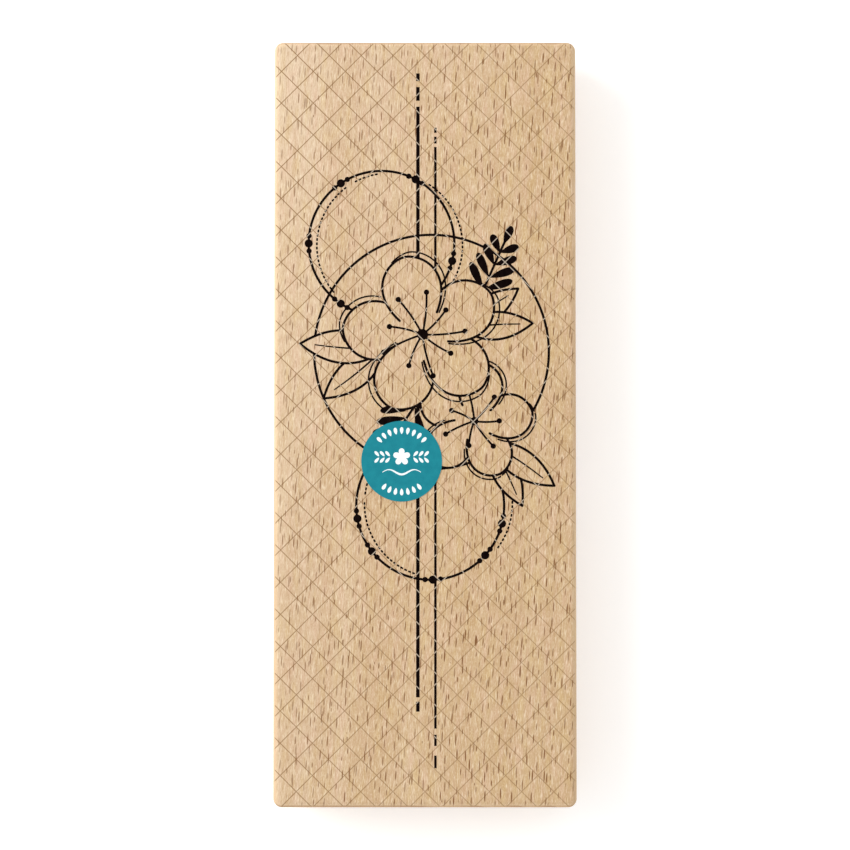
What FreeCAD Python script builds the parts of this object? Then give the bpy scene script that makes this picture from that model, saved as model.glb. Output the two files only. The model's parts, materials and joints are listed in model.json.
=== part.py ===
"""A wood-mounted rubber stamp for card making.

From the top down it is a round paper label and a printed index picture on a beech block, then
an adhesive film, a foam cushion, a second adhesive film and a rubber die whose raised lines
print the picture. The die gives on its cushion when the block is pressed.

Frame: millimetres, +Z up. The origin is the centre of the printing face, so the raised lines
stand on z = 0. +Y runs along the block and X across it, as the index picture is read.
"""

import FreeCAD
import Part

import math
import os

# Beech block
BLOCK_WIDTH = 70.0
BLOCK_LENGTH = 177.5
BLOCK_HEIGHT = 20.0
CORNER_RADIUS = 2.0
TOP_EDGE_RADIUS = 1.4
BOTTOM_EDGE_RADIUS = 0.8
GROOVE_RADIUS = 7.0
GROOVE_DEPTH = 2.2

# Layers under the block
RELIEF_HEIGHT = 1.0
DIE_BASE = 1.3
FILM = 0.1
FOAM = 3.0

# Layers on top of the block
INK = 0.03
LABEL_GLUE = 0.06
LABEL_PAPER = 0.12
LABEL_INK = 0.02

# Widths of the drawn lines
OUTLINE = 0.56
ECHO_LINE = 0.36
ECHO_GAP = 0.6
VEIN = 0.46
RING_LINE = 0.56
HEAVY_LINE = 0.8
LIGHT_LINE = 0.56
DASH_LINE = 0.42
DASH_LENGTH = 0.3
DASH_PITCH = 1.0

# Round marks of the picture, and the angle in degrees from one bead of a group to the next
ANTHER_RADIUS = 0.62
BEAD_RADIUS = 0.95
SMALL_BEAD_RADIUS = 0.62
BEAD_STEP = 6

# How close a dash may come to its ring and to the middle of a bead
DASH_TO_RING = 0.4
DASH_TO_BEAD = 1.5

# Petals: how round their tips are, the part of the edge left undrawn at the base, and how far
# the second outline is turned, in degrees, and enlarged
PETAL_TIP_POWER = 0.58
PETAL_OPENING = 0.16
ECHO_TURN = 4
ECHO_SIZE = 1.05

# Leaves: the undrawn part of the edge at the base, and the angle of a sprig's leaflets
LEAF_OPENING = 0.07
LEAFLET_ANGLE = 48
LEAFLET_WIDTH = 1.9

# Places in the picture, from the middle of the block
HEAVY_LINE_X = -1.65
LIGHT_LINE_X = 2.4
LARGE_RING = (1.5, 16.5, 27.2)
UPPER_RING = (-10.1, 41.7, 16.9)
LOWER_RING = (1.2, -19.2, 17.1)
LARGE_BLOSSOM = (-0.6, 20.5)
SMALL_BLOSSOM = (11.4, 0.4)
LABEL_CENTRE = (-5.4, -8.9)
LABEL_RADIUS = 9.35

# The rubber and foam are trimmed this far outside the picture, with rounded inner corners
TRIM_MARGIN = 2.8
TRIM_ROUNDING = 5.0

# Heights of the layers, from the printing face up
DIE_GLUE_Z = RELIEF_HEIGHT + DIE_BASE
FOAM_Z = DIE_GLUE_Z + FILM
MOUNT_GLUE_Z = FOAM_Z + FOAM
BLOCK_Z = MOUNT_GLUE_Z + FILM
TOP_Z = BLOCK_Z + BLOCK_HEIGHT

# Scraps of a cut line that are smaller than this, in square millimetres, are left out
SCRAP_AREA = 0.1

# Tolerances: a distance in millimetres, and a share of an area
PLANE_GAP = 1e-6
SEAM_AREA = 1e-3


def point(x, y, z=0.0):
    return FreeCAD.Vector(x, y, z)


def placed(x, y, degrees):
    """A function that carries a local point (along, across) to its place in the picture."""
    c = math.cos(math.radians(degrees))
    s = math.sin(math.radians(degrees))
    return lambda along, across: point(x + along * c - across * s, y + along * s + across * c)


def curve(points):
    """One smooth edge through the points."""
    spline = Part.BSplineCurve()
    spline.interpolate(points)
    return spline.toShape()


def prism(face, height, z=0.0):
    """The face, which lies on z = 0, raised to z and extruded by height."""
    return face.translated(point(0, 0, z)).extrude(point(0, 0, height))


def joined(faces):
    """Flat faces on one plane fused into as few faces as they make, with no seams."""
    fused = faces[0].multiFuse(faces[1:]) if len(faces) > 1 else faces[0]
    uses = {}
    for face in fused.Faces:
        for edge in face.Edges:
            uses.setdefault(edge.hashCode(), []).append(edge)
    rim = [edges[0] for edges in uses.values() if len(edges) == 1]
    loops = [Part.Wire(group) for group in Part.sortEdges(rim)]
    whole = Part.makeFace(loops, "Part::FaceMakerBullseye")
    if abs(whole.Area - fused.Area) > SEAM_AREA * fused.Area or not whole.isValid():
        raise ValueError("the seams of a flat shape did not come out cleanly")
    return whole


def disc(x, y, radius):
    return Part.Face(Part.Wire(Part.makeCircle(radius, point(x, y))))


def bar(x, low, high, width):
    """An upright bar with square ends."""
    half = width / 2
    corners = [(x - half, low), (x + half, low), (x + half, high), (x - half, high)]
    corners.append(corners[0])
    return Part.Face(Part.makePolygon([point(*c) for c in corners]))


# Drawn lines


def ribbon(path, width, samples=10):
    """A line of even width, or of the width that a function gives, with round ends."""
    width_at = width if callable(width) else lambda u: width
    step = 1e-4
    left, right, ends = [], [], {}
    for i in range(samples + 1):
        u = i / samples
        before, after = path(max(u - step, 0.0)), path(min(u + step, 1.0))
        tangent = (after - before).normalize()
        across = point(-tangent.y, tangent.x) * (width_at(u) / 2)
        left.append(path(u) + across)
        right.append(path(u) - across)
        ends[i] = tangent * (width_at(u) / 2)
    end_cap = Part.Arc(right[-1], path(1.0) + ends[samples], left[-1]).toShape()
    start_cap = Part.Arc(left[0], path(0.0) - ends[0], right[0]).toShape()
    return Part.Face(Part.Wire([curve(right), end_cap, curve(left[::-1]), start_cap]))


def ring(x, y, radius, width):
    return disc(x, y, radius + width / 2).cut(disc(x, y, radius - width / 2)).Faces[0]


# Petals and leaves


class Leaf:
    """A petal or leaf, which starts at (x, y) and points the way that degrees says.

    Half its width is share**base_power * (1 - share)**tip_power, scaled to the wanted width,
    where share is the distance from its base over its length. A tip power of 0.5 gives a round
    tip, and 1 gives a pointed one.
    """

    def __init__(self, x, y, degrees, length, width, base_power=0.85, tip_power=0.5):
        self.place = (x, y, degrees)
        self.at = placed(x, y, degrees)
        self.length = length
        self.base_power = base_power
        self.tip_power = tip_power
        self.scale = 1.0
        self.scale = width / 2 / self.half(base_power / (base_power + tip_power))

    def half(self, share):
        """Half the width at a share of the length."""
        return self.scale * share**self.base_power * (1 - share) ** self.tip_power

    def rim(self, u, inset=0.0):
        """A point of the edge, from the base round the tip and back as u goes from 0 to 1."""
        turn = 2 * (inset + (1 - 2 * inset) * u)
        share = math.sin(turn * math.pi / 2) ** 2
        side = -1 if turn < 1 else 1
        return self.at(self.length * share, side * self.half(share))

    def holds(self, spot, gap=0.0):
        """Whether a point is inside the shape or nearer to it than gap."""
        x, y, degrees = self.place
        local = placed(0, 0, -degrees)(spot.x - x, spot.y - y)
        share = min(max(local.x / self.length, 0.0), 1.0)
        across = max(abs(local.y) - self.half(share), 0.0)
        along = local.x - self.length * share
        return math.hypot(across, along) <= gap

    def filled(self, samples=9):
        """The whole shape as a face."""
        halves = []
        for side in (0.0, 0.5):
            halves.append(curve([self.rim(side + 0.5 * i / samples) for i in range(samples + 1)]))
        return Part.Face(Part.Wire(halves))


def shown_spans(path, hidden, steps=300):
    """The spans of a path, as (start, end), that a test does not hide."""
    spans, start = [], None
    for i in range(steps + 1):
        u = i / steps
        if not hidden(path(u)):
            start = u if start is None else start
            end = u
        elif start is not None:
            spans.append((start, end))
            start = None
    if start is not None:
        spans.append((start, 1.0))
    return [span for span in spans if span[1] - span[0] > 4 / steps]


def drawn(path, width, hidden, samples):
    """Lines along the spans of a path that a test does not hide."""
    lines = []
    for first, last in shown_spans(path, hidden):
        count = max(4, round(samples * (last - first)))
        lines.append(ribbon(lambda u: path(first + (last - first) * u), width, count))
    return lines


def midrib(leaf, reach):
    """A tapering vein from near the base of a leaf to a share of its length."""
    start = 0.12

    def path(u):
        return leaf.at(leaf.length * (start + (reach - start) * u), 0.25 * math.sin(math.pi * u))

    return ribbon(path, lambda u: VEIN * (1 - 0.4 * u), samples=6)


def stamen(x, y, degrees, length, bend):
    """A curved filament with a round anther on its end."""
    to_picture = placed(x, y, degrees)
    filament = ribbon(lambda u: to_picture(length * u, bend * u * u), VEIN, samples=5)
    tip = to_picture(length, bend)
    return [filament, disc(tip.x, tip.y, ANTHER_RADIUS)]


# All the flat faces are drawn anticlockwise, so that they face up and can be fused.
# Each motif gives the lines that it draws and the cover that hides what is behind it, both as
# lists of flat faces.


def blossom(centre, petal_length, petal_width, turn, stamens):
    """Five equal petals, each over the next, with a fainter second outline and stamens."""
    x, y = centre
    angles = [turn - 72 * k for k in range(5)]
    petals, echoes = [], []
    for angle in angles:
        petals.append(Leaf(x, y, angle, petal_length, petal_width, tip_power=PETAL_TIP_POWER))
        size = (petal_length * ECHO_SIZE, petal_width * ECHO_SIZE)
        echoes.append(Leaf(x, y, angle - ECHO_TURN, *size, tip_power=PETAL_TIP_POWER))
    lines = []
    for k in range(5):
        front = petals[:k]
        near = petals[: k + 1]
        edge, echo = petals[k], echoes[k]
        edge_path = lambda u: edge.rim(u, PETAL_OPENING)
        lines += drawn(edge_path, OUTLINE, lambda p: any(f.holds(p) for f in front), 30)
        lines += drawn(echo.rim, ECHO_LINE, lambda p: any(f.holds(p, ECHO_GAP) for f in near), 30)
    lines.append(disc(x, y, petal_length * 0.07))
    for k in range(stamens):
        share = 0.42 if k % 2 else 0.53
        angle = turn + 14 + 360 / stamens * k
        lines += stamen(x, y, angle, petal_length * share, petal_length * 0.07)
    return lines, [p.filled() for p in petals]


def leaf_pair(x, y, leaves):
    """Leaves from one point, given as (degrees, length, width), the first in front."""
    lines, front = [], []
    for degrees, length, width in leaves:
        leaf = Leaf(x, y, degrees, length, width, base_power=0.9, tip_power=1.0)
        for side in (-0.5, 0.5):
            to_tip = lambda u: leaf.rim(0.5 + side * (1 - u), LEAF_OPENING)
            lines += drawn(to_tip, OUTLINE, lambda p: any(f.holds(p) for f in front), 12)
        lines.append(midrib(leaf, 0.82))
        front.append(leaf)
    return lines, [f.filled() for f in front]


def sprig(x, y, degrees, length, pairs, leaflet):
    """A stem with solid leaflets in pairs, shorter towards the tip, and one on the tip."""
    to_picture = placed(x, y, degrees)
    faces = [ribbon(lambda u: to_picture(length * u, 0.0), OUTLINE, samples=4)]
    tip = to_picture(length * 0.93, 0.0)
    faces.append(Leaf(tip.x, tip.y, degrees, leaflet * 0.72, LEAFLET_WIDTH, 1.0, 0.5).filled())
    for k in range(pairs):
        share = k / (pairs - 1)
        foot = to_picture(length * (0.22 + 0.58 * share), 0.0)
        size = leaflet * (1.12 - 0.4 * share)
        for side in (1, -1):
            angle = degrees + side * LEAFLET_ANGLE
            faces.append(Leaf(foot.x, foot.y, angle, size, LEAFLET_WIDTH, 1.0, 0.5).filled())
    return faces, []


def beaded_ring(place, bead_angles, dashed_shift, dashed_span):
    """A ring with groups of three beads, beside a ring of short dashes set a little aside."""
    x, y, radius = place
    faces = [ring(x, y, radius, RING_LINE)]
    beads = []
    for middle in bead_angles:
        for step in (-1, 0, 1):
            spot = placed(x, y, middle + step * BEAD_STEP)(radius, 0.0)
            beads.append(spot)
            faces.append(disc(spot.x, spot.y, SMALL_BEAD_RADIUS if step else BEAD_RADIUS))
    first, last = dashed_span
    pitch = math.degrees(DASH_PITCH / radius)
    half = math.degrees(DASH_LENGTH / 2 / radius)
    for k in range(int((last - first) / pitch) + 1):
        middle = first + k * pitch

        def arc(u):
            turned = placed(x + dashed_shift[0], y + dashed_shift[1], middle + half * (2 * u - 1))
            return turned(radius, 0.0)

        dash = arc(0.5)
        from_ring = abs(math.hypot(dash.x - x, dash.y - y) - radius)
        from_bead = min(dash.distanceToPoint(b) for b in beads)
        if from_ring > RING_LINE / 2 + DASH_TO_RING and from_bead > DASH_TO_BEAD:
            faces.append(ribbon(arc, DASH_LINE, samples=2))
    return faces, []


def upright_lines():
    """Two long lines that break into dashes at their ends."""
    heavy = [(-66.7, -64.4), (-63.4, 73.6), (75.0, 78.2), (79.6, 81.4)]
    light = [(-79.7, -76.8), (-74.6, -72.0), (-70.6, 64.2), (65.0, 66.6), (67.5, 68.7)]
    bars = [bar(HEAVY_LINE_X, low, high, HEAVY_LINE) for low, high in heavy]
    bars += [bar(LIGHT_LINE_X, low, high, LIGHT_LINE) for low, high in light]
    return bars, []


def drawn_picture():
    """Motif name to its flat faces, front motifs first, each cut where another hides it."""
    motifs = {
        "large_blossom": blossom(LARGE_BLOSSOM, 18.5, 13.6, 103, 9),
        "small_blossom": blossom(SMALL_BLOSSOM, 13.6, 10.2, 80, 7),
        "left_leaves": leaf_pair(-9.5, 17.0, [(176, 19.5, 7.6), (219, 18.0, 6.8)]),
        "right_leaves": leaf_pair(8.5, 22.0, [(4, 16.5, 6.4), (35, 16.0, 5.8)]),
        "lower_leaves": leaf_pair(15.0, -4.5, [(-34, 18.0, 6.4), (-63, 16.5, 5.8)]),
        "upper_sprig": sprig(12.0, 27.5, 66, 16.5, 4, 6.4),
        "lower_sprig": sprig(-0.3, 7.0, 236, 17.0, 4, 7.2),
        "upper_ring": beaded_ring(UPPER_RING, (62, 124, 180, 236, 346), (1.9, -0.5), (-35, 322)),
        "lower_ring": beaded_ring(LOWER_RING, (190, 218, 272, 318, 346), (1.9, 0.5), (-180, 175)),
        "large_ring": ([ring(*LARGE_RING, RING_LINE)], []),
        "upright_lines": upright_lines(),
    }
    drawn, hiding = {}, []
    for name, (lines, cover) in motifs.items():
        whole = joined(lines)
        pieces = (whole.cut(hiding) if hiding else whole).Faces
        drawn[name] = [face for face in pieces if face.Area > SCRAP_AREA]
        hiding = joined(hiding + cover + drawn[name]).Faces
    return drawn


# Pieces


def make_block():
    """A beech block with rounded edges and a finger groove along each long side."""
    corner = point(-BLOCK_WIDTH / 2, -BLOCK_LENGTH / 2, BLOCK_Z)
    block = Part.makeBox(BLOCK_WIDTH, BLOCK_LENGTH, BLOCK_HEIGHT, corner)
    upright = [e for e in block.Edges if e.BoundBox.ZLength > BLOCK_HEIGHT / 2]
    block = block.makeFillet(CORNER_RADIUS, upright)
    for z, radius in ((TOP_Z, TOP_EDGE_RADIUS), (BLOCK_Z, BOTTOM_EDGE_RADIUS)):
        rim = [e for e in block.Edges if abs(e.CenterOfMass.z - z) < PLANE_GAP]
        block = block.makeFillet(radius, rim)
    reach = BLOCK_WIDTH / 2 + GROOVE_RADIUS - GROOVE_DEPTH
    for side in (1, -1):
        start = point(side * reach, -BLOCK_LENGTH, BLOCK_Z + BLOCK_HEIGHT / 2)
        tool = Part.makeCylinder(GROOVE_RADIUS, 2 * BLOCK_LENGTH, start, point(0, 1, 0))
        block = block.cut(tool)
    return block


def trim_outline():
    """The outline that the rubber and foam are trimmed to, as one flat face."""
    lobes = []
    for x, y, radius in (LARGE_RING, UPPER_RING, LOWER_RING):
        lobes.append(disc(x, y, radius + TRIM_MARGIN))
    lobes.append(disc(-20.5, 15.5, 10.5))
    lobes.append(disc(25.0, -13.0, 9.0))
    lobes.append(disc(18.5, 41.0, 9.5))
    half = (LIGHT_LINE_X - HEAVY_LINE_X) / 2 + TRIM_MARGIN + 0.4
    middle = (LIGHT_LINE_X + HEAVY_LINE_X) / 2
    low, high = -79.7 + half - TRIM_MARGIN, 81.4 - half + TRIM_MARGIN
    lobes.append(bar(middle, low, high, 2 * half))
    lobes += [disc(middle, low, half), disc(middle, high, half)]
    whole = joined(lobes).Faces[0]
    grown = Part.Face(whole.OuterWire.makeOffset2D(TRIM_ROUNDING))
    return Part.Face(grown.OuterWire.makeOffset2D(-TRIM_ROUNDING))


def label_marks():
    """A small blossom between two rows of leaves, a wave below it, and two arcs of leaflets."""
    x, y = LABEL_CENTRE
    faces = [Leaf(x, y + 1.0, 90 + 72 * k, 2.0, 1.35, 0.8, 0.5).filled() for k in range(5)]
    for side in (1, -1):
        for k in range(3):
            foot = x + side * (2.7 + 1.25 * k)
            for lift in (1, -1):
                angle = 90 - side * (90 - lift * LEAFLET_ANGLE)
                faces.append(Leaf(foot, y + 1.0 + lift * 0.14, angle, 1.55, 0.66, 0.9, 0.6).filled())

    def wave(u):
        return point(x - 4.4 + 8.8 * u, y - 2.5 + 0.55 * math.sin(3.0 * math.pi * u))

    faces.append(ribbon(wave, lambda u: 0.16 + 0.3 * math.sin(math.pi * u) ** 2, samples=18))
    for middle, count in ((90, 9), (270, 7)):
        for k in range(count):
            angle = middle + 11.5 * (k - (count - 1) / 2)
            foot = placed(x, y, angle)(6.3, 0.0)
            faces.append(Leaf(foot.x, foot.y, angle, 1.6, 0.8, 0.8, 0.5).filled())
    return faces


def export(name, solids):
    """One STEP file per node, holding its solids."""
    shape = solids[0] if len(solids) == 1 else Part.makeCompound(solids)
    if not shape.isValid():
        raise ValueError(f"{name} is not a valid shape")
    shape.exportStep(f"parts/{name}.step")
    print(f"{name}: {len(shape.Solids)} solids, {shape.Volume:.3f} mm3")


def main():
    os.makedirs("parts", exist_ok=True)
    picture = drawn_picture()
    node_motifs = {
        "index_large_blossom": ["large_blossom"],
        "index_small_blossom": ["small_blossom"],
        "index_leaves": ["left_leaves", "right_leaves", "lower_leaves"],
        "index_sprigs": ["upper_sprig", "lower_sprig"],
        "index_upper_ring": ["upper_ring"],
        "index_lower_ring": ["lower_ring"],
        "index_large_ring": ["large_ring"],
        "index_upright_lines": ["upright_lines"],
    }
    inked = {}
    for node, names in node_motifs.items():
        inked[node] = [prism(f, INK, TOP_Z) for n in names for f in picture[n]]
        export(node, inked[node])

    export("wood_block", [make_block()])

    outline = trim_outline()
    export("mount_adhesive", [prism(outline, FILM, MOUNT_GLUE_Z)])
    export("cushion_foam", [prism(outline, FOAM, FOAM_Z)])
    export("die_adhesive", [prism(outline, FILM, DIE_GLUE_Z)])
    raised = joined([f for faces in picture.values() for f in faces]).Faces
    roots = [prism(f, RELIEF_HEIGHT + DIE_BASE / 2) for f in raised]
    base = prism(outline, DIE_BASE, RELIEF_HEIGHT)
    export("rubber_die", base.multiFuse(roots).removeSplitter().Solids)

    round_label = disc(*LABEL_CENTRE, LABEL_RADIUS)
    glue = prism(round_label, LABEL_GLUE, TOP_Z)
    glue = glue.cut([s for solids in inked.values() for s in solids])
    export("label_adhesive", glue.Solids)
    paper_z = TOP_Z + LABEL_GLUE
    export("label_paper", [prism(round_label, LABEL_PAPER, paper_z)])
    marks = joined(label_marks()).Faces
    export("label_print", [prism(f, LABEL_INK, paper_z + LABEL_PAPER) for f in marks])


main()
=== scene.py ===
"""Looks for the wood-mounted rubber stamp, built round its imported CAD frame. Metres, +Z up.

The block's top carries the index picture and a round label. Below it are the foam cushion and
the rubber die. The foam is a Blender piece, and every other piece keeps its CAD shape. The
materials are node graphs, which work in millimetres in the frame's own coordinates.
"""

import json
import math

import bmesh
import bpy
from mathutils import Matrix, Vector
from mathutils.geometry import delaunay_2d_cdt


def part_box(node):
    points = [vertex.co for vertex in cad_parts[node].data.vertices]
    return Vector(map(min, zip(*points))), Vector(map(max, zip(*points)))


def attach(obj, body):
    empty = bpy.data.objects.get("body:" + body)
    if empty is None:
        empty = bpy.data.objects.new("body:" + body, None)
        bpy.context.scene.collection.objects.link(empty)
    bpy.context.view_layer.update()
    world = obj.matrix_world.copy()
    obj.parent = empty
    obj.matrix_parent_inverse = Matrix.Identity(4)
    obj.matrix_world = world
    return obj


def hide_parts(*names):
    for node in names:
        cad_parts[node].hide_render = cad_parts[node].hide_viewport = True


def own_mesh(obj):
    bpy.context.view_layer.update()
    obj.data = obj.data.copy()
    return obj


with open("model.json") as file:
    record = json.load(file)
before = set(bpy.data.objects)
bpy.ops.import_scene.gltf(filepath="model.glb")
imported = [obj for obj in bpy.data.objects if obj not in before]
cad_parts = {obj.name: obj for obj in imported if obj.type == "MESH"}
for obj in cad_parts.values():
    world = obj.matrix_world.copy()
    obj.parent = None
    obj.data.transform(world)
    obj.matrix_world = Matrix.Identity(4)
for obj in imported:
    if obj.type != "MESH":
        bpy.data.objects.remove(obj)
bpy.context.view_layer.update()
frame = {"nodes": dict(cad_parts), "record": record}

MM = 0.001

# Where things are, from the frame
BLOCK_LOW, BLOCK_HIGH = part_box("wood_block")
FOAM_LOW, FOAM_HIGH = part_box("cushion_foam")
TOP = BLOCK_HIGH.z
LENGTH = BLOCK_HIGH.y - BLOCK_LOW.y

# The camera looks almost straight down at a point of the block's top, and the block's length
# fills this share of its view. The tilt is in degrees.
CAMERA_DISTANCE = 0.9
CAMERA_TILT = 3.0
CAMERA_AIM_Y = -0.5 * MM
LENGTH_SHARE = 0.902
SENSOR_HEIGHT = 24.0
NEAREST_SEEN = 0.01

# One soft light, up and to the left, in an even white surround. The floor glows a little, as on
# a light table.
KEY_PLACE = (-0.6, 0.24, 0.65)
KEY_SIZE = 0.6
KEY_POWER = 5.4
KEY_COLOUR = (1.0, 0.995, 0.985)
SURROUND_STRENGTH = 0.78
FLOOR_SIZE = 4.0
FLOOR_GLOW = 0.33

# From here to the foam, numbers are in millimetres

# The grain leans this far along X for each millimetre along Y, and wanders within this width
GRAIN_LEAN = -0.055
GRAIN_WANDER = 3.0

# Growth rings: the distance between them, how much it swells, and where their pith lies, below
# the printing face and to the side of the block's middle
RING_PITCH = 2.7
RING_SWELL = 5.0
PITH_DEPTH = 90.0
PITH_ASIDE = 14.0

# Sets of ray flecks: the cell that holds one fleck, the fleck's size, a seed, and the share of
# the cells that stay empty
RAY_FLECKS = (
    ((2.2, 4.5, 8.0), (0.15, 1.35, 7.4), 0.0, 0.1),
    ((3.4, 7.4, 12.0), (0.17, 1.5, 11.0), 5.3, 0.4),
    ((1.9, 3.9, 6.0), (0.14, 0.8, 5.5), 9.1, 0.6),
)

# Heights between which the block's side gives way to its upper edge
UPPER_EDGE = (TOP / MM - 2.0, TOP / MM - 1.4)

# Fine diagonal lines across the block's top: spacing along X and Y, one crossing, line width,
# and how strong they are
LATTICE_PITCH = 7.42
LATTICE_CROSSING = (-29.67, 85.58)
LATTICE_WIDTH = 0.19
LATTICE_ON_WOOD = 0.85
LATTICE_ON_INK = 0.6

# The foam's mesh, in metres: the distance between points round its outline, the rows of faces
# up its side, how far the side draws in at mid height, and how far it stays inside its CAD solid
FOAM_SPACING = 0.6 * MM
FOAM_ROWS = 8
FOAM_PINCH = 0.16 * MM
FOAM_INSET = 0.01 * MM

# Points nearer than this are one point, and heights nearer than this are level
SAME_POINT = 0.001 * MM
SAME_LEVEL = 0.01 * MM


# Node graphs


def linear(r, g, b):
    """A colour given as it looks on screen, 0 to 255, as the linear values that shaders take."""
    values = []
    for v in (r / 255, g / 255, b / 255):
        values.append(v / 12.92 if v <= 0.04045 else ((v + 0.055) / 1.055) ** 2.4)
    return (*values, 1.0)


class Graph:
    """A material's node graph, with one short call for each kind of node."""

    def __init__(self, name):
        self.material = bpy.data.materials.new(name)
        self.material.use_nodes = True
        self.nodes = self.material.node_tree.nodes
        self.links = self.material.node_tree.links
        self.nodes.clear()
        self.shader = self.nodes.new("ShaderNodeBsdfPrincipled")
        output = self.nodes.new("ShaderNodeOutputMaterial")
        self.links.new(self.shader.outputs["BSDF"], output.inputs["Surface"])
        coordinates = self.nodes.new("ShaderNodeTexCoord").outputs["Object"]
        self.place = self.vector("SCALE", coordinates, scale=1 / MM)

    def feed(self, socket, value):
        """Links a socket to another node's output, or sets it to a plain value."""
        if isinstance(value, bpy.types.NodeSocket):
            self.links.new(value, socket)
        else:
            socket.default_value = value

    def set(self, **values):
        """Sets or links the shader's inputs, where an underscore stands for a space."""
        for name, value in values.items():
            self.feed(self.shader.inputs[name.replace("_", " ")], value)

    def math(self, operation, a, b=0.0, c=0.0):
        node = self.nodes.new("ShaderNodeMath")
        node.operation = operation
        for socket, value in zip(node.inputs, (a, b, c)):
            self.feed(socket, value)
        return node.outputs[0]

    def times(self, first, *others):
        """The product of the values."""
        product = first
        for other in others:
            product = self.math("MULTIPLY", product, other)
        return product

    def between(self, share, start, end):
        """A value that goes evenly from start to end as the share goes from 0 to 1."""
        return self.math("MULTIPLY_ADD", share, self.math("SUBTRACT", end, start), start)

    def ramp(self, value, low, high, to_low=0.0, to_high=1.0):
        """The value carried smoothly from low..high to to_low..to_high."""
        node = self.nodes.new("ShaderNodeMapRange")
        node.interpolation_type = "SMOOTHSTEP"
        self.feed(node.inputs["Value"], value)
        ends = {"From Min": low, "From Max": high, "To Min": to_low, "To Max": to_high}
        for name, number in ends.items():
            self.feed(node.inputs[name], number)
        return node.outputs["Result"]

    def vector(self, operation, a, b=(0, 0, 0), scale=1.0):
        node = self.nodes.new("ShaderNodeVectorMath")
        node.operation = operation
        self.feed(node.inputs[0], a)
        self.feed(node.inputs[1], b)
        if operation == "SCALE":
            self.feed(node.inputs["Scale"], scale)
        return node.outputs["Value" if operation == "LENGTH" else "Vector"]

    def join(self, x, y, z):
        node = self.nodes.new("ShaderNodeCombineXYZ")
        for socket, value in zip(node.inputs, (x, y, z)):
            self.feed(socket, value)
        return node.outputs[0]

    def split(self, value, kind="ShaderNodeSeparateXYZ"):
        """The three numbers that a vector, or a colour, is made of."""
        node = self.nodes.new(kind)
        self.feed(node.inputs[0], value)
        return list(node.outputs)

    def facing(self, axis):
        """How far the surface faces along an axis, -1 to 1."""
        normal = self.nodes.new("ShaderNodeNewGeometry").outputs["Normal"]
        return self.split(normal)["XYZ".index(axis)]

    def noise(self, place, sizes, detail=2.0, roughness=0.5):
        """Soft noise, 0 to 1, whose features have these sizes in millimetres."""
        node = self.nodes.new("ShaderNodeTexNoise")
        node.inputs["Scale"].default_value = 1.0
        node.inputs["Detail"].default_value = detail
        node.inputs["Roughness"].default_value = roughness
        scaled = self.vector("MULTIPLY", place, tuple(1 / s for s in sizes))
        self.links.new(scaled, node.inputs["Vector"])
        return node.outputs["Fac"]

    def spots(self, place, cell, size, seed=0.0):
        """One ellipsoid at a random place in each cell.

        Gives the distance from its middle, which is 1 at its surface, and two random values that
        are the same all over the cell.
        """
        scaled = self.vector("MULTIPLY", place, tuple(1 / c for c in cell))
        moved = self.vector("ADD", scaled, (seed, 2 * seed, 3 * seed))
        node = self.nodes.new("ShaderNodeTexVoronoi")
        node.inputs["Scale"].default_value = 1.0
        self.links.new(moved, node.inputs["Vector"])
        offset = self.vector("SUBTRACT", moved, node.outputs["Position"])
        shaped = self.vector("MULTIPLY", offset, tuple(c / s for c, s in zip(cell, size)))
        random = self.split(node.outputs["Color"], "ShaderNodeSeparateColor")
        return self.vector("LENGTH", shaped), random[0], random[1]

    def mix(self, share, a, b):
        node = self.nodes.new("ShaderNodeMix")
        node.data_type = "RGBA"
        self.feed(node.inputs[0], share)
        self.feed(node.inputs[6], a)
        self.feed(node.inputs[7], b)
        return node.outputs[2]

    def layered(self, colour, *layers):
        """The colour under layers, each given as its share and the colour it looks on screen."""
        for share, tint in layers:
            colour = self.mix(share, colour, linear(*tint))
        return colour

    def bump(self, height, distance, strength=1.0):
        """A normal from a height that runs 0 to 1 over a distance in metres."""
        node = self.nodes.new("ShaderNodeBump")
        node.inputs["Strength"].default_value = strength
        node.inputs["Distance"].default_value = distance
        self.links.new(height, node.inputs["Height"])
        self.links.new(node.outputs["Normal"], self.shader.inputs["Normal"])


# Materials


def lattice(g):
    """1 on the fine diagonal lines of the block's top and 0 between them."""
    x, y, z = g.split(g.place)
    gap = LATTICE_PITCH / math.sqrt(2)
    lines = []
    for sign in (1, -1):
        start = (LATTICE_CROSSING[0] + sign * LATTICE_CROSSING[1]) / math.sqrt(2)
        across = g.times(g.math("MULTIPLY_ADD", y, sign, x), 1 / math.sqrt(2))
        turns = g.times(g.math("SUBTRACT", across, start), 1 / gap)
        to_line = g.times(g.math("PINGPONG", turns, 0.5), gap)
        lines.append(g.ramp(to_line, LATTICE_WIDTH * 0.2, LATTICE_WIDTH * 0.85, 1.0, 0.0))
    upward = g.ramp(g.facing("Z"), 0.55, 0.8)
    on_top = g.ramp(z, *UPPER_EDGE)
    return g.times(g.math("MAXIMUM", *lines), upward, on_top)


def growth_rings(g, across, z):
    """The dark line at the outer edge of each growth ring, 0 to 1."""
    swell = g.times(g.noise(g.place, (26, 120, 14), detail=1.0), RING_SWELL)
    from_pith = g.join(g.math("ADD", across, PITH_ASIDE), 0.0, g.math("ADD", z, PITH_DEPTH))
    radius = g.math("ADD", g.vector("LENGTH", from_pith), swell)
    turns = g.math("FRACT", g.times(radius, 1 / RING_PITCH))
    return g.times(g.ramp(turns, 0.25, 0.93), g.ramp(turns, 1.0, 0.95))


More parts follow.
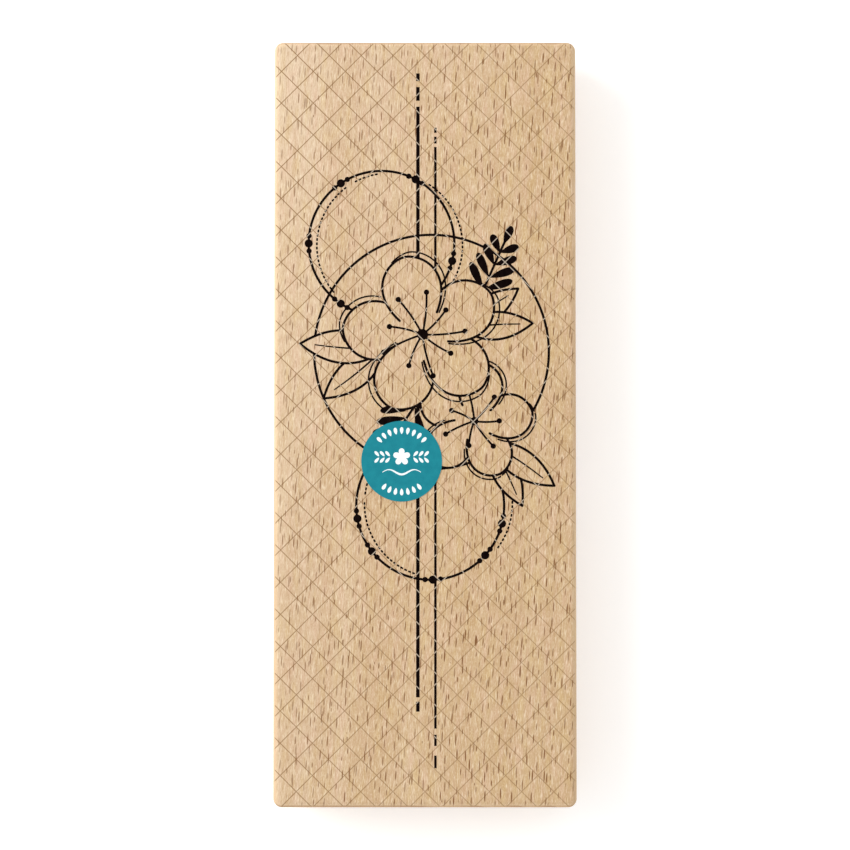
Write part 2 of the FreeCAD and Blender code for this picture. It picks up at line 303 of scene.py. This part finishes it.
def ray_flecks(g, grain):
    """Beech's flecks: thin across the grain, short along it, and tall into the wood."""
    flecks = 0.0
    for cell, size, seed, empty in RAY_FLECKS:
        away, chance, shade = g.spots(grain, cell, size, seed)
        shape = g.ramp(away, 0.75, 1.1, 1.0, 0.0)
        present = g.ramp(chance, empty, empty + 0.15)
        shown = g.times(shape, present, g.ramp(shade, 0.0, 1.0, 0.65, 1.0))
        flecks = g.math("MAXIMUM", flecks, shown)
    return flecks


def end_pores(g):
    """The fine pores of the end grain, 1 in a pore, as if every face were an end."""
    away, _, _ = g.spots(g.place, (0.34, 4.0, 0.34), (0.08, 4.0, 0.08), 2.7)
    return g.ramp(away, 0.5, 1.0, 1.0, 0.0)


def beech():
    """Tangential beech on top: pale, with short dark ray flecks, fine pores and faint bands."""
    g = Graph("beech_wood")
    x, y, z = g.split(g.place)
    wander = g.times(g.math("SUBTRACT", g.noise(g.place, (30, 60, 30)), 0.5), GRAIN_WANDER)
    leaned = g.math("MULTIPLY_ADD", y, GRAIN_LEAN, g.math("ADD", x, wander))
    grain = g.join(leaned, y, z)

    # How far the surface faces the long sides and the ends
    side = g.ramp(g.math("ABSOLUTE", g.facing("X")), 0.3, 0.7)
    end = g.ramp(g.math("ABSOLUTE", g.facing("Y")), 0.5, 0.9)

    # The rings are faint on the top, and plainer on the sides and ends
    late = growth_rings(g, leaned, z)
    rings = g.times(late, g.between(g.math("MAXIMUM", end, side), 0.14, 0.46))

    # Broad bands, narrow streaks, warm and yellow patches, and fibres, which are longer on the
    # sides, with still finer specks between them
    bands = g.noise(grain, (6.0, 110.0, 9.0), detail=1.0)
    streaks = g.noise(grain, (0.55, 18.0, 1.6), detail=2.0, roughness=0.6)
    warmth = g.noise(g.vector("ADD", grain, (40, 7, 3)), (1.6, 9.0, 7.0), detail=3.0)
    short = g.noise(grain, (0.19, 1.7, 0.45), detail=1.0, roughness=0.7)
    long = g.noise(grain, (0.4, 12.0, 0.26), detail=2.0, roughness=0.6)
    fibres = g.between(side, short, long)
    specks = g.noise(grain, (0.18, 0.5, 0.3), detail=1.0)
    dark = g.math("MAXIMUM", g.ramp(fibres, 0.5, 0.78, 0.0, 0.5), g.ramp(specks, 0.5, 0.8, 0.0, 0.3))
    pale = g.math("MAXIMUM", g.ramp(fibres, 0.5, 0.22, 0.0, 0.6), g.ramp(specks, 0.5, 0.2, 0.0, 0.35))

    # Painted shade and light: browner towards the right, palest at the left corner of the far end
    lean = g.math("SUBTRACT", g.times(g.math("MAXIMUM", y, 0.0), 0.3), x)
    painted_shade_right = g.ramp(lean, -16.0, 66.0, 1.0, 0.0)

    colour = g.mix(g.ramp(bands, 0.3, 0.7), linear(217, 194, 167), linear(209, 183, 152))
    colour = g.layered(
        colour,
        (g.times(painted_shade_right, 0.8), (194, 162, 119)),
        (g.ramp(warmth, 0.45, 0.7, 0.0, 0.45), (218, 183, 158)),
        (g.ramp(warmth, 0.5, 0.3, 0.0, 0.35), (212, 183, 128)),
        (rings, (172, 132, 90)),
        (g.ramp(streaks, 0.5, 0.75, 0.0, 0.4), (188, 152, 110)),
        (dark, (168, 128, 86)),
        (g.times(pale, g.between(side, 1.0, 0.5)), (243, 225, 196)),
    )

    # The flecks are fainter on the sides and ends, and strongest under the painted shade on the right
    flecks = ray_flecks(g, grain)
    strength = g.times(g.between(painted_shade_right, 0.7, 1.0), g.between(side, 1.0, 0.2), g.between(end, 1.0, 0.4))
    colour = g.layered(colour, (g.times(flecks, strength), (124, 81, 44)))

    # Painted light: the rounded upper edges are paler, and so is the top beside the left edge
    rounded = g.times(g.ramp(g.facing("Z"), 0.99, 0.8), g.ramp(g.facing("Z"), 0.02, 0.3))
    painted_edge_light = g.times(rounded, g.ramp(z, *UPPER_EDGE), 0.3)
    painted_left_light = g.ramp(x, -33.8, -30.0, 0.15, 0.0)
    colour = g.layered(colour, (painted_left_light, (232, 208, 174)), (painted_edge_light, (246, 218, 182)))

    # End grain is darker, with fine pores and plain rings
    pores = g.times(end_pores(g), end)
    colour = g.layered(
        colour,
        (g.times(end, 0.5), (190, 148, 106)),
        (g.times(late, end, 0.4), (142, 100, 62)),
        (g.times(pores, 0.45), (112, 75, 46)),
    )

    # Painted shade in the finger grooves, and the lattice over everything, fainter under the painted
    # shade
    inward = g.math("SUBTRACT", BLOCK_HIGH.x / MM, g.math("ABSOLUTE", x))
    painted_groove_shade = g.times(side, g.ramp(inward, 0.1, 2.2, 0.0, 0.32))
    lines = g.times(lattice(g), LATTICE_ON_WOOD, g.between(painted_shade_right, 1.0, 0.65))
    colour = g.layered(colour, (painted_groove_shade, (150, 110, 72)), (lines, (126, 88, 42)))

    height = g.math("SUBTRACT", g.times(fibres, 0.5), g.times(flecks, 0.6))
    height = g.math("SUBTRACT", height, g.times(pores, 0.5))
    g.bump(height, 0.05 * MM, 0.6)
    g.set(Base_Color=colour, Roughness=g.ramp(fibres, 0.2, 0.8, 0.58, 0.72), Specular_IOR_Level=0.2)
    return g.material


def index_ink():
    """Black ink soaked into the grain, where pores and raised fibres show through a little."""
    g = Graph("index_ink")
    x, y, z = g.split(g.place)
    grain = g.join(g.math("MULTIPLY_ADD", y, GRAIN_LEAN, x), y, z)
    fibres = g.noise(grain, (0.16, 2.2, 1.0), detail=2.0, roughness=0.65)
    patches = g.noise(g.place, (1.1, 2.6, 1.1), detail=2.0)
    worn = g.times(g.ramp(fibres, 0.62, 0.85), g.ramp(patches, 0.5, 0.75, 0.15, 0.7))
    lines = g.times(lattice(g), LATTICE_ON_INK)
    colour = g.mix(g.ramp(patches, 0.3, 0.75), linear(9, 3, 3), linear(20, 11, 10))
    colour = g.layered(colour, (worn, (84, 58, 42)), (lines, (226, 208, 186)))
    g.bump(fibres, 0.02 * MM, 0.5)
    g.set(Base_Color=colour, Roughness=g.ramp(patches, 0.2, 0.8, 0.75, 0.9), Specular_IOR_Level=0.02)
    return g.material


def label_paper():
    """Coated teal paper with a faint mottle and a paler cut edge."""
    g = Graph("label_paper")
    mottle = g.noise(g.place, (1.6, 1.6, 1.6), detail=3.0)
    tooth = g.noise(g.place, (0.12, 0.12, 0.12), detail=1.0)
    edge = g.ramp(g.facing("Z"), 0.7, 0.2)
    colour = g.mix(g.ramp(mottle, 0.3, 0.7), linear(5, 122, 136), linear(13, 130, 143))
    colour = g.layered(
        colour,
        (g.ramp(tooth, 0.5, 0.85, 0.0, 0.2), (36, 148, 160)),
        (g.times(edge, 0.8), (214, 222, 220)),
    )
    g.bump(tooth, 0.008 * MM, 0.5)
    g.set(Base_Color=colour, Roughness=g.ramp(tooth, 0.2, 0.8, 0.5, 0.62), Specular_IOR_Level=0.2)
    return g.material


def label_ink():
    """White print, a little uneven where the teal shows through."""
    g = Graph("label_ink")
    thin = g.noise(g.place, (0.35, 0.35, 0.35), detail=2.0)
    colour = g.mix(g.ramp(thin, 0.55, 0.85, 0.0, 0.35), linear(240, 246, 246), linear(150, 205, 212))
    g.bump(thin, 0.004 * MM, 0.4)
    g.set(Base_Color=colour, Roughness=g.ramp(thin, 0.2, 0.8, 0.5, 0.62), Specular_IOR_Level=0.35)
    return g.material


def adhesive_film():
    """Clear film, a little yellow and cloudy, over what it bonds."""
    g = Graph("adhesive_film")
    cloud = g.noise(g.place, (3.0, 3.0, 1.0), detail=3.0)
    colour = g.mix(g.ramp(cloud, 0.3, 0.7), linear(226, 214, 186), linear(240, 232, 212))
    g.bump(cloud, 0.02 * MM, 0.4)
    g.set(Base_Color=colour, Roughness=g.ramp(cloud, 0.2, 0.8, 0.25, 0.4))
    g.set(Coat_Weight=0.3, Coat_Roughness=0.2)
    return g.material


def foam():
    """Fine closed-cell foam whose cut side shows its open cells."""
    g = Graph("cushion_foam")
    large, chance, _ = g.spots(g.place, (0.34, 0.34, 0.3), (0.19, 0.19, 0.16), 1.3)
    small, _, _ = g.spots(g.place, (0.16, 0.16, 0.16), (0.08, 0.08, 0.08), 7.7)
    pits = g.times(g.ramp(large, 0.4, 1.0, 1.0, 0.0), g.ramp(chance, 0.0, 0.7, 0.3, 1.0))
    fine = g.ramp(small, 0.4, 1.0, 1.0, 0.0)
    tone = g.noise(g.place, (6.0, 6.0, 2.0), detail=2.0)
    colour = g.mix(g.ramp(tone, 0.3, 0.7), linear(204, 204, 199), linear(219, 218, 212))
    # The cells' pits are painted darker, a painted shade in their hollows on top of their bump
    colour = g.layered(
        colour,
        (g.times(pits, 0.5), (148, 148, 144)),
        (g.times(fine, 0.2), (168, 168, 163)),
    )
    height = g.math("SUBTRACT", 1.0, g.math("MULTIPLY_ADD", fine, 0.3, pits))
    g.bump(height, 0.12 * MM, 0.8)
    g.set(Base_Color=colour, Roughness=0.9, Specular_IOR_Level=0.2, Sheen_Weight=0.15)
    return g.material


def die_rubber():
    """Brick-red moulded rubber, with talc left in the hollows and ink stain on the raised lines."""
    g = Graph("die_rubber")
    _, _, z = g.split(g.place)
    tone = g.noise(g.place, (5.0, 5.0, 3.0), detail=3.0)
    grit = g.noise(g.place, (0.18, 0.18, 0.18), detail=2.0)

    # Faces that look down are the hollows' floor, about 1 mm up, and the printing faces, at 0
    down = g.ramp(g.facing("Z"), -0.5, -0.9)
    hollow = g.times(down, g.ramp(z, 0.6, 0.9))
    printing = g.times(down, g.ramp(z, 0.3, 0.1))

    colour = g.mix(g.ramp(tone, 0.3, 0.7), linear(166, 66, 50), linear(182, 80, 60))
    colour = g.layered(
        colour,
        (g.ramp(grit, 0.55, 0.85, 0.0, 0.35), (206, 122, 98)),
        (g.times(hollow, g.ramp(tone, 0.45, 0.75, 0.05, 0.3)), (222, 190, 178)),
        (g.times(printing, g.ramp(tone, 0.35, 0.65, 0.25, 0.6)), (96, 34, 30)),
    )
    g.bump(g.math("ADD", g.times(grit, 0.5), tone), 0.03 * MM, 0.5)
    g.set(Base_Color=colour, Roughness=g.ramp(grit, 0.2, 0.8, 0.48, 0.66), Specular_IOR_Level=0.4)
    return g.material


def dress():
    """Gives each CAD node the material of its slot, and returns the materials by slot."""
    makers = {
        "beech": beech,
        "index_ink": index_ink,
        "label_paper": label_paper,
        "label_ink": label_ink,
        "adhesive_film": adhesive_film,
        "cushion_foam": foam,
        "die_rubber": die_rubber,
    }
    made = {slot: make() for slot, make in makers.items()}
    for part in frame["record"]["subparts"]:
        data = frame["nodes"][part["node"]].data
        data.materials.clear()
        data.materials.append(made[part["material_slot"]])
    return made


# The foam cushion


def foam_outline():
    """The points round the cushion's cut edge, from its CAD solid, as one closed list."""
    mesh = bmesh.new()
    mesh.from_mesh(frame["nodes"]["cushion_foam"].data)
    bmesh.ops.remove_doubles(mesh, verts=mesh.verts, dist=SAME_POINT)
    bottom = [f for f in mesh.faces if all(abs(v.co.z - FOAM_LOW.z) < SAME_LEVEL for v in f.verts)]
    inside = set(bottom)
    rim = [e for f in bottom for e in f.edges if sum(n in inside for n in e.link_faces) == 1]
    neighbours = {}
    for edge in rim:
        for a, b in (edge.verts, reversed(edge.verts)):
            neighbours.setdefault(a, []).append(b)
    start = rim[0].verts[0]
    points, last, vert = [start.co.copy()], None, start
    while True:
        onward = [v for v in neighbours[vert] if v is not last]
        last, vert = vert, onward[0]
        if vert is start:
            break
        points.append(vert.co.copy())
    mesh.free()
    return points


def evenly(points, spacing):
    """Points about that far apart along a closed outline."""
    lengths = [0.0]
    closed = points + [points[0]]
    for a, b in zip(closed, closed[1:]):
        lengths.append(lengths[-1] + (b - a).length)
    count = round(lengths[-1] / spacing)
    spread, k = [], 0
    for i in range(count):
        along = lengths[-1] * i / count
        while lengths[k + 1] < along:
            k += 1
        share = (along - lengths[k]) / (lengths[k + 1] - lengths[k])
        spread.append(closed[k].lerp(closed[k + 1], share))
    return spread


def make_foam():
    """The cushion, with a cut side that draws in a little at mid height and is not quite even."""
    outline = evenly(foam_outline(), FOAM_SPACING)
    count = len(outline)
    area = sum(a.x * b.y - b.x * a.y for a, b in zip(outline, outline[1:] + outline[:1]))
    turn = 1 if area > 0 else -1
    mesh = bmesh.new()
    rows = []
    for level in range(FOAM_ROWS + 1):
        share = level / FOAM_ROWS
        z = FOAM_LOW.z + (FOAM_HIGH.z - FOAM_LOW.z) * share
        pinch = FOAM_PINCH * math.sin(math.pi * share) ** 0.8
        row = []
        for i, spot in enumerate(outline):
            ahead = outline[(i + 1) % count] - outline[i - 1]
            inward = Vector((-ahead.y, ahead.x, 0)).normalized() * turn
            ripple = math.sin(i * 0.9 + 3.1 * share) * math.sin(i * 0.13 + level) * 0.5 + 0.5
            depth = pinch * (0.7 + 0.3 * ripple) + FOAM_INSET
            row.append(mesh.verts.new((spot.x + inward.x * depth, spot.y + inward.y * depth, z)))
        rows.append(row)
    loop = [(i, (i + 1) % count) for i in range(count)]
    for low, high in zip(rows, rows[1:]):
        for i, j in loop:
            corners = (low[i], low[j], high[j], high[i])
            mesh.faces.new(corners if turn > 0 else corners[::-1])
    inside_only = 1
    flat = [v.co.xy for v in rows[0]]
    triangles = delaunay_2d_cdt(flat, loop, [], inside_only, SAME_POINT)[2]
    for a, b, c in triangles:
        mesh.faces.new((rows[0][c], rows[0][b], rows[0][a]))
        mesh.faces.new((rows[-1][a], rows[-1][b], rows[-1][c]))
    data = bpy.data.meshes.new("foam_cushion")
    mesh.to_mesh(data)
    mesh.free()
    piece = bpy.data.objects.new("foam_cushion", data)
    bpy.context.scene.collection.objects.link(piece)
    return piece


# Stage


def make_surround():
    """An even white surround and one soft light, aimed at the middle of the floor."""
    scene = bpy.context.scene
    world = bpy.data.worlds.new("studio")
    world.use_nodes = True
    background = world.node_tree.nodes["Background"]
    background.inputs["Color"].default_value = (1.0, 1.0, 1.0, 1.0)
    background.inputs["Strength"].default_value = SURROUND_STRENGTH
    scene.world = world

    light = bpy.data.lights.new("key", "AREA")
    light.size = KEY_SIZE
    light.energy = KEY_POWER
    light.color = KEY_COLOUR
    lamp = bpy.data.objects.new("key", light)
    lamp.location = KEY_PLACE
    lamp.rotation_euler = (-Vector(KEY_PLACE)).to_track_quat("-Z", "Y").to_euler()
    scene.collection.objects.link(lamp)


def make_floor():
    """A plain pale floor at the height of the printing face."""
    bpy.ops.mesh.primitive_grid_add(x_subdivisions=2, y_subdivisions=2, size=FLOOR_SIZE)
    floor = bpy.context.object
    floor.name = "floor"
    g = Graph("floor")
    g.set(Base_Color=(0.93, 0.93, 0.925, 1.0), Roughness=0.9, Specular_IOR_Level=0.1)
    g.set(Emission_Color=(1.0, 1.0, 1.0, 1.0), Emission_Strength=FLOOR_GLOW)
    floor.data.materials.append(g.material)


def make_camera():
    """A camera almost straight above the block."""
    data = bpy.data.cameras.new("camera")
    data.sensor_fit = "VERTICAL"
    data.sensor_height = SENSOR_HEIGHT
    data.angle_y = 2 * math.atan(LENGTH / LENGTH_SHARE / 2 / CAMERA_DISTANCE)
    data.clip_start = NEAREST_SEEN
    camera = bpy.data.objects.new("camera", data)
    tilt = math.radians(CAMERA_TILT)
    back = CAMERA_AIM_Y - CAMERA_DISTANCE * math.sin(tilt)
    camera.location = (0.0, back, TOP + CAMERA_DISTANCE * math.cos(tilt))
    camera.rotation_euler = (tilt, 0.0, 0.0)
    bpy.context.scene.collection.objects.link(camera)
    bpy.context.scene.camera = camera


def main():
    bpy.context.scene.view_settings.view_transform = "Standard"
    make_camera()
    make_surround()
    make_floor()
    made = dress()
    cushion = make_foam()
    cushion.data.materials.append(made["cushion_foam"])
    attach(cushion, "block")
    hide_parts("cushion_foam")
    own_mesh(cushion)


main()
